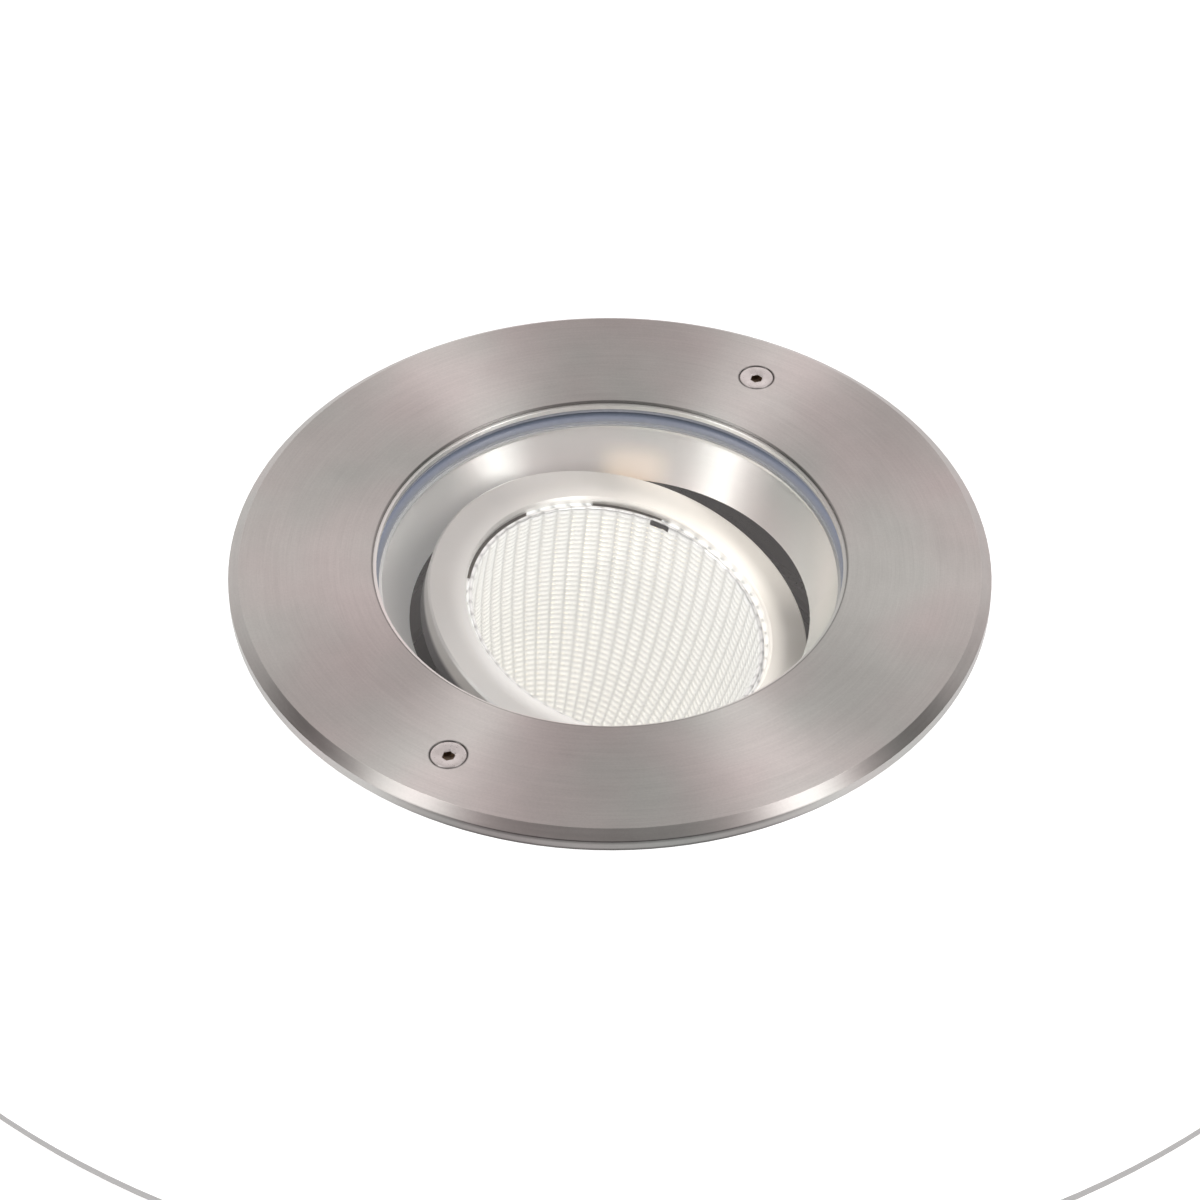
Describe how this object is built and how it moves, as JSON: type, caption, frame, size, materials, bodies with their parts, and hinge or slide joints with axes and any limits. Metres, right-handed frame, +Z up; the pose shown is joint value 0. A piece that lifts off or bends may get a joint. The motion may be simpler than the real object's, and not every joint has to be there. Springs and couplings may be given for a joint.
{
  "type": "in-ground well light",
  "caption": "Round in-ground well light: flush steel bezel and glass over a turning, tilting faceted lamp in a sealed housing and ground sleeve.",
  "frame": {"origin": "centre of the bezel's ground seat, in the plane of the paving", "axes": "+Z up out of the ground along the light's own axis; -Y towards the viewer of the picture"},
  "size_m": [0.21, 0.21, 0.2082],
  "materials": {
    "brushed_stainless": "concentric brushed, satin",
    "stainless_fastener": "machined, slightly polished",
    "gasket_black": "matte",
    "gasket_grey": "matte, slightly translucent look",
    "tempered_glass": "clear, polished, ground edge",
    "turned_aluminium": "fine turned satin",
    "cast_housing": "fine textured powder coat",
    "nylon_white": "matte",
    "spring_steel": "satin",
    "zinc_steel": "zinc plated",
    "driver_case": "matte",
    "terminal_plastic": "matte",
    "brass_part": "machined",
    "gland_plastic": "fine grain",
    "sleeve_plastic": "moulded, fine grain",
    "lamp_ring_satin": "satin nickel",
    "reflector_bright": "vacuum metallised, faceted",
    "lamp_cast": "cast, bead blasted",
    "led_board_white": "smooth",
    "led_phosphor": "soft gel",
    "heat_sink_aluminium": "black-grey anodised"
  },
  "bodies": {
    "housing": {"bezel_ring": "brushed_stainless", "bezel_screws": "stainless_fastener", "bezel_gasket": "gasket_black", "clamp_ring": "brushed_stainless", "clamp_ring_screws": "stainless_fastener", "upper_gasket": "gasket_grey", "glass_pane": "tempered_glass", "lower_gasket": "gasket_grey", "inner_cone": "turned_aluminium", "lamp_housing": "cast_housing", "pan_slide_ring": "nylon_white", "pan_retaining_ring": "spring_steel", "driver_bracket": "zinc_steel", "led_driver": "driver_case", "driver_bracket_screws": "zinc_steel", "terminal_block": "terminal_plastic", "terminal_screws": "zinc_steel", "earth_screw": "brass_part", "cable_gland_body": "gland_plastic", "gland_washer": "gasket_black", "gland_locknut": "gland_plastic", "gland_seal": "gasket_black", "gland_dome_nut": "gland_plastic", "breather_vent": "gland_plastic", "blanking_plug": "gland_plastic", "sleeve_collar": "sleeve_plastic", "sleeve_tube": "sleeve_plastic", "sleeve_base_ring": "sleeve_plastic", "sleeve_inserts": "brass_part"},
    "yoke": {"pan_yoke": "zinc_steel"},
    "lamp": {"lamp_trim_ring": "lamp_ring_satin", "reflector": "reflector_bright", "lamp_body": "lamp_cast", "trim_ring_screws": "zinc_steel", "tilt_pivot_screws": "zinc_steel", "tilt_friction_washers": "nylon_white", "led_board": "led_board_white", "led_emitter": "led_phosphor", "led_holder": "nylon_white", "led_holder_screws": "zinc_steel", "heat_sink": "heat_sink_aluminium", "heat_sink_screws": "zinc_steel"}
  },
  "joints": [
    {"name": "pan", "type": "hinge", "parent": "housing", "child": "yoke", "pos_m": [0, 0, -0.055], "axis": [0, 0, 1], "range_deg": [-175, 175]},
    {"name": "tilt", "type": "hinge", "parent": "yoke", "child": "lamp", "pos_m": [0, 0, -0.02935], "axis": [0.213, 0.977, 0], "range_deg": [-29.5, 0.5]}
  ]
}
